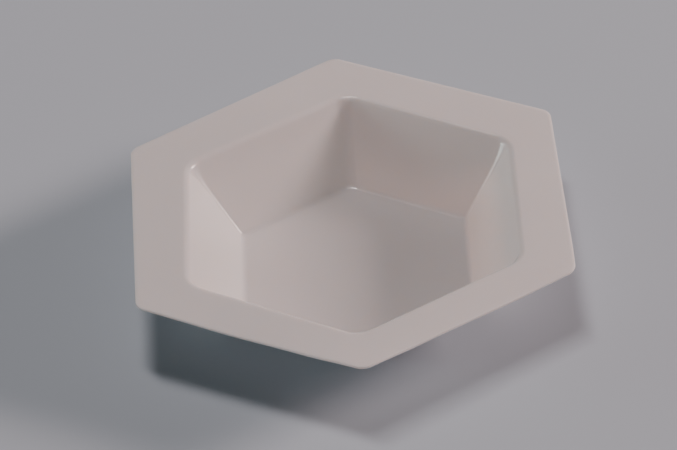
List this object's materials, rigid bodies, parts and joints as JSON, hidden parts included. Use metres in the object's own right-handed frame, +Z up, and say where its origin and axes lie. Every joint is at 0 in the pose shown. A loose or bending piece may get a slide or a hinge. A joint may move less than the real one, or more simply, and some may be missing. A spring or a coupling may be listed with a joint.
{
  "type": "weighing boat",
  "caption": "Shallow hexagonal weighing dish of thin white plastic with sloping walls and a wide flat rim, one corner of the rim bent down.",
  "frame": {"origin": "under the middle of the rim's outline, on the underside of the floor", "axes": "+Z up out of the well; +Y from the front corner of the hexagon to the back corner; +X square to the right side of the rim"},
  "size_m": [0.048, 0.055, 0.0091],
  "materials": {
    "white_polystyrene": "satin, slightly translucent white polystyrene sheet"
  },
  "bodies": {
    "root": {"boat": "white_polystyrene"}
  },
  "joints": []
}
